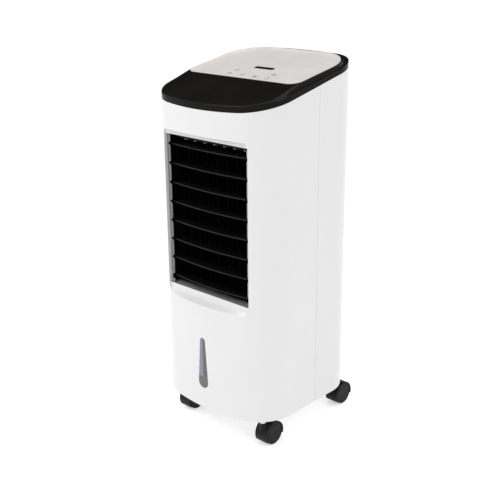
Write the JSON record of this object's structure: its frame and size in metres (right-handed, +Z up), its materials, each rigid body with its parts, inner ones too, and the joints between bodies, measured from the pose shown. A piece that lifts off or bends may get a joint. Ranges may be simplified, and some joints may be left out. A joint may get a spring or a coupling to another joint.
{
  "type": "evaporative cooler",
  "caption": "Tower evaporative cooler on swivel castors: recessed louvred air outlet, sloped black cap with touch panel, rear water drawer and intake grille.",
  "frame": {"origin": "on the floor, under the middle of the casing's footprint", "axes": "+Z up; the air outlet faces -Y, so +Y is the rear and +X is the right side seen from the front"},
  "size_m": [0.26, 0.2823, 0.6474],
  "materials": {
    "white_casing": "smooth moulded, slightly glossy",
    "gloss_black_cap": "high gloss",
    "pearl_panel": "fine pearl satin",
    "smoked_lens": "polished",
    "smoked_window": "polished",
    "silver_trim": "silver-grey satin",
    "matt_black": "fine grained",
    "pale_acetal": "satin",
    "motor_steel": "plated",
    "screw_steel": "plated",
    "grey_internal": "moulded",
    "pump_plastic": "moulded",
    "hose_vinyl": "clear grey",
    "cooling_paper": "corrugated cellulose",
    "dust_mesh": "woven net",
    "circuit_board": "solder mask",
    "black_rubber": "matt",
    "castor_black": "smooth nylon",
    "castor_tyre": "smooth nylon"
  },
  "bodies": {
    "casing": {"front_shell": "white_casing", "rear_shell": "white_casing", "base_plate": "white_casing", "case_screws": "screw_steel", "top_cap": "gloss_black_cap", "control_panel": "pearl_panel", "control_board": "circuit_board", "display_window": "smoked_lens", "water_window": "smoked_window", "outlet_frame": "silver_trim", "vane_carrier": "matt_black", "vane_bushes": "pale_acetal", "swing_motor": "motor_steel", "fan_housing": "matt_black", "fan_motor": "motor_steel", "drum_bearing": "pale_acetal", "deck": "grey_internal", "water_pump": "pump_plastic", "pump_hose": "hose_vinyl", "drip_tray": "grey_internal", "cord_gland": "black_rubber"},
    "louvre_1": {"louvre_1": "matt_black"},
    "louvre_2": {"louvre_2": "matt_black"},
    "louvre_3": {"louvre_3": "matt_black"},
    "louvre_4": {"louvre_4": "matt_black"},
    "louvre_5": {"louvre_5": "matt_black"},
    "louvre_6": {"louvre_6": "matt_black"},
    "louvre_7": {"louvre_7": "matt_black"},
    "louvre_8": {"louvre_8": "matt_black"},
    "louvre_link": {"louvre_link": "matt_black"},
    "vane_1": {"vane_1": "matt_black"},
    "vane_2": {"vane_2": "matt_black"},
    "vane_3": {"vane_3": "matt_black"},
    "vane_4": {"vane_4": "matt_black"},
    "vane_5": {"vane_5": "matt_black"},
    "vane_6": {"vane_6": "matt_black"},
    "vane_7": {"vane_7": "matt_black"},
    "vane_link": {"vane_link": "matt_black"},
    "swing_crank": {"swing_crank": "matt_black"},
    "fan_drum": {"fan_drum": "matt_black"},
    "water_tank": {"water_tank": "white_casing", "drain_plug": "black_rubber"},
    "tank_latch": {"tank_latch": "white_casing"},
    "rear_cartridge": {"rear_grille": "white_casing", "pad_frame": "grey_internal", "cooling_pad": "cooling_paper", "dust_mesh": "dust_mesh"},
    "castor_swivel_front_left": {"castor_hood_front_left": "castor_black"},
    "castor_wheel_front_left": {"castor_wheels_front_left": "castor_tyre", "castor_axle_front_left": "screw_steel"},
    "castor_swivel_front_right": {"castor_hood_front_right": "castor_black"},
    "castor_wheel_front_right": {"castor_wheels_front_right": "castor_tyre", "castor_axle_front_right": "screw_steel"},
    "castor_swivel_rear_left": {"castor_hood_rear_left": "castor_black"},
    "castor_wheel_rear_left": {"castor_wheels_rear_left": "castor_tyre", "castor_axle_rear_left": "screw_steel"},
    "castor_swivel_rear_right": {"castor_hood_rear_right": "castor_black"},
    "castor_wheel_rear_right": {"castor_wheels_rear_right": "castor_tyre", "castor_axle_rear_right": "screw_steel"}
  },
  "joints": [
    {"name": "louvre_1_tilt", "type": "hinge", "parent": "casing", "child": "louvre_1", "pos_m": [0, -0.105, 0.509], "axis": [1, 0, 0], "range_deg": [-25, 25]},
    {"name": "louvre_2_tilt", "type": "hinge", "parent": "casing", "child": "louvre_2", "pos_m": [0, -0.105, 0.4758], "axis": [1, 0, 0], "range_deg": [-25, 25]},
    {"name": "louvre_3_tilt", "type": "hinge", "parent": "casing", "child": "louvre_3", "pos_m": [0, -0.105, 0.4426], "axis": [1, 0, 0], "range_deg": [-25, 25]},
    {"name": "louvre_4_tilt", "type": "hinge", "parent": "casing", "child": "louvre_4", "pos_m": [0, -0.105, 0.4094], "axis": [1, 0, 0], "range_deg": [-25, 25]},
    {"name": "louvre_5_tilt", "type": "hinge", "parent": "casing", "child": "louvre_5", "pos_m": [0, -0.105, 0.3762], "axis": [1, 0, 0], "range_deg": [-25, 25]},
    {"name": "louvre_6_tilt", "type": "hinge", "parent": "casing", "child": "louvre_6", "pos_m": [0, -0.105, 0.343], "axis": [1, 0, 0], "range_deg": [-25, 25]},
    {"name": "louvre_7_tilt", "type": "hinge", "parent": "casing", "child": "louvre_7", "pos_m": [0, -0.105, 0.3098], "axis": [1, 0, 0], "range_deg": [-25, 25]},
    {"name": "louvre_8_tilt", "type": "hinge", "parent": "casing", "child": "louvre_8", "pos_m": [0, -0.105, 0.2766], "axis": [1, 0, 0], "range_deg": [-25, 25]},
    {"name": "louvre_link_swing", "type": "hinge", "parent": "louvre_1", "child": "louvre_link", "pos_m": [0.0861, -0.094, 0.509], "axis": [1, 0, 0], "range_deg": [-25, 25]},
    {"name": "vane_1_swing", "type": "hinge", "parent": "casing", "child": "vane_1", "pos_m": [-0.0669, -0.075, 0.39], "axis": [0, 0, 1], "range_deg": [-35, 35]},
    {"name": "vane_2_swing", "type": "hinge", "parent": "casing", "child": "vane_2", "pos_m": [-0.0446, -0.075, 0.39], "axis": [0, 0, 1], "range_deg": [-35, 35]},
    {"name": "vane_3_swing", "type": "hinge", "parent": "casing", "child": "vane_3", "pos_m": [-0.0223, -0.075, 0.39], "axis": [0, 0, 1], "range_deg": [-35, 35]},
    {"name": "vane_4_swing", "type": "hinge", "parent": "casing", "child": "vane_4", "pos_m": [0, -0.075, 0.39], "axis": [0, 0, 1], "range_deg": [-35, 35]},
    {"name": "vane_5_swing", "type": "hinge", "parent": "casing", "child": "vane_5", "pos_m": [0.0223, -0.075, 0.39], "axis": [0, 0, 1], "range_deg": [-35, 35]},
    {"name": "vane_6_swing", "type": "hinge", "parent": "casing", "child": "vane_6", "pos_m": [0.0446, -0.075, 0.39], "axis": [0, 0, 1], "range_deg": [-35, 35]},
    {"name": "vane_7_swing", "type": "hinge", "parent": "casing", "child": "vane_7", "pos_m": [0.0669, -0.075, 0.39], "axis": [0, 0, 1], "range_deg": [-35, 35]},
    {"name": "vane_link_swing", "type": "hinge", "parent": "vane_1", "child": "vane_link", "pos_m": [-0.0669, -0.066, 0.2692], "axis": [0, 0, 1], "range_deg": [-35, 35]},
    {"name": "swing_crank_turn", "type": "hinge", "parent": "casing", "child": "swing_crank", "pos_m": [0.01115, -0.075, 0.27], "axis": [0, 0, 1], "range_deg": [-35, 35]},
    {"name": "fan_drum_spin", "type": "hinge", "parent": "casing", "child": "fan_drum", "pos_m": [0, 0.022, 0.395], "axis": [0, 0, 1], "continuous": true},
    {"name": "water_tank_slide", "type": "slide", "parent": "casing", "child": "water_tank", "axis": [0, 1, 0], "range_m": [0, 0.14]},
    {"name": "tank_latch_turn", "type": "hinge", "parent": "casing", "child": "tank_latch", "pos_m": [0, 0.1335, 0.236], "axis": [0, 1, 0], "range_deg": [0, 90]},
    {"name": "rear_cartridge_slide", "type": "slide", "parent": "casing", "child": "rear_cartridge", "axis": [0, 1, 0], "range_m": [0, 0.06]},
    {"name": "castor_swivel_front_left", "type": "hinge", "parent": "casing", "child": "castor_swivel_front_left", "pos_m": [-0.095, -0.084, 0.05], "axis": [0, 0, 1], "continuous": true},
    {"name": "castor_roll_front_left", "type": "hinge", "parent": "castor_swivel_front_left", "child": "castor_wheel_front_left", "pos_m": [-0.095, -0.067, 0.02], "axis": [1, 0, 0], "continuous": true},
    {"name": "castor_swivel_front_right", "type": "hinge", "parent": "casing", "child": "castor_swivel_front_right", "pos_m": [0.095, -0.084, 0.05], "axis": [0, 0, 1], "continuous": true},
    {"name": "castor_roll_front_right", "type": "hinge", "parent": "castor_swivel_front_right", "child": "castor_wheel_front_right", "pos_m": [0.095, -0.067, 0.02], "axis": [1, 0, 0], "continuous": true},
    {"name": "castor_swivel_rear_left", "type": "hinge", "parent": "casing", "child": "castor_swivel_rear_left", "pos_m": [-0.095, 0.112, 0.05], "axis": [0, 0, 1], "continuous": true},
    {"name": "castor_roll_rear_left", "type": "hinge", "parent": "castor_swivel_rear_left", "child": "castor_wheel_rear_left", "pos_m": [-0.095, 0.129, 0.02], "axis": [1, 0, 0], "continuous": true},
    {"name": "castor_swivel_rear_right", "type": "hinge", "parent": "casing", "child": "castor_swivel_rear_right", "pos_m": [0.095, 0.112, 0.05], "axis": [0, 0, 1], "continuous": true},
    {"name": "castor_roll_rear_right", "type": "hinge", "parent": "castor_swivel_rear_right", "child": "castor_wheel_rear_right", "pos_m": [0.095, 0.129, 0.02], "axis": [1, 0, 0], "continuous": true}
  ],
  "couplings": [
    {"joint": "louvre_2_tilt", "follows": "louvre_1_tilt", "ratio": 1},
    {"joint": "louvre_3_tilt", "follows": "louvre_1_tilt", "ratio": 1},
    {"joint": "louvre_4_tilt", "follows": "louvre_1_tilt", "ratio": 1},
    {"joint": "louvre_5_tilt", "follows": "louvre_1_tilt", "ratio": 1},
    {"joint": "louvre_6_tilt", "follows": "louvre_1_tilt", "ratio": 1},
    {"joint": "louvre_7_tilt", "follows": "louvre_1_tilt", "ratio": 1},
    {"joint": "louvre_8_tilt", "follows": "louvre_1_tilt", "ratio": 1},
    {"joint": "louvre_link_swing", "follows": "louvre_1_tilt", "ratio": -1},
    {"joint": "vane_2_swing", "follows": "vane_1_swing", "ratio": 1},
    {"joint": "vane_3_swing", "follows": "vane_1_swing", "ratio": 1},
    {"joint": "vane_4_swing", "follows": "vane_1_swing", "ratio": 1},
    {"joint": "vane_5_swing", "follows": "vane_1_swing", "ratio": 1},
    {"joint": "vane_6_swing", "follows": "vane_1_swing", "ratio": 1},
    {"joint": "vane_7_swing", "follows": "vane_1_swing", "ratio": 1},
    {"joint": "vane_link_swing", "follows": "vane_1_swing", "ratio": -1},
    {"joint": "swing_crank_turn", "follows": "vane_1_swing", "ratio": 1}
  ]
}
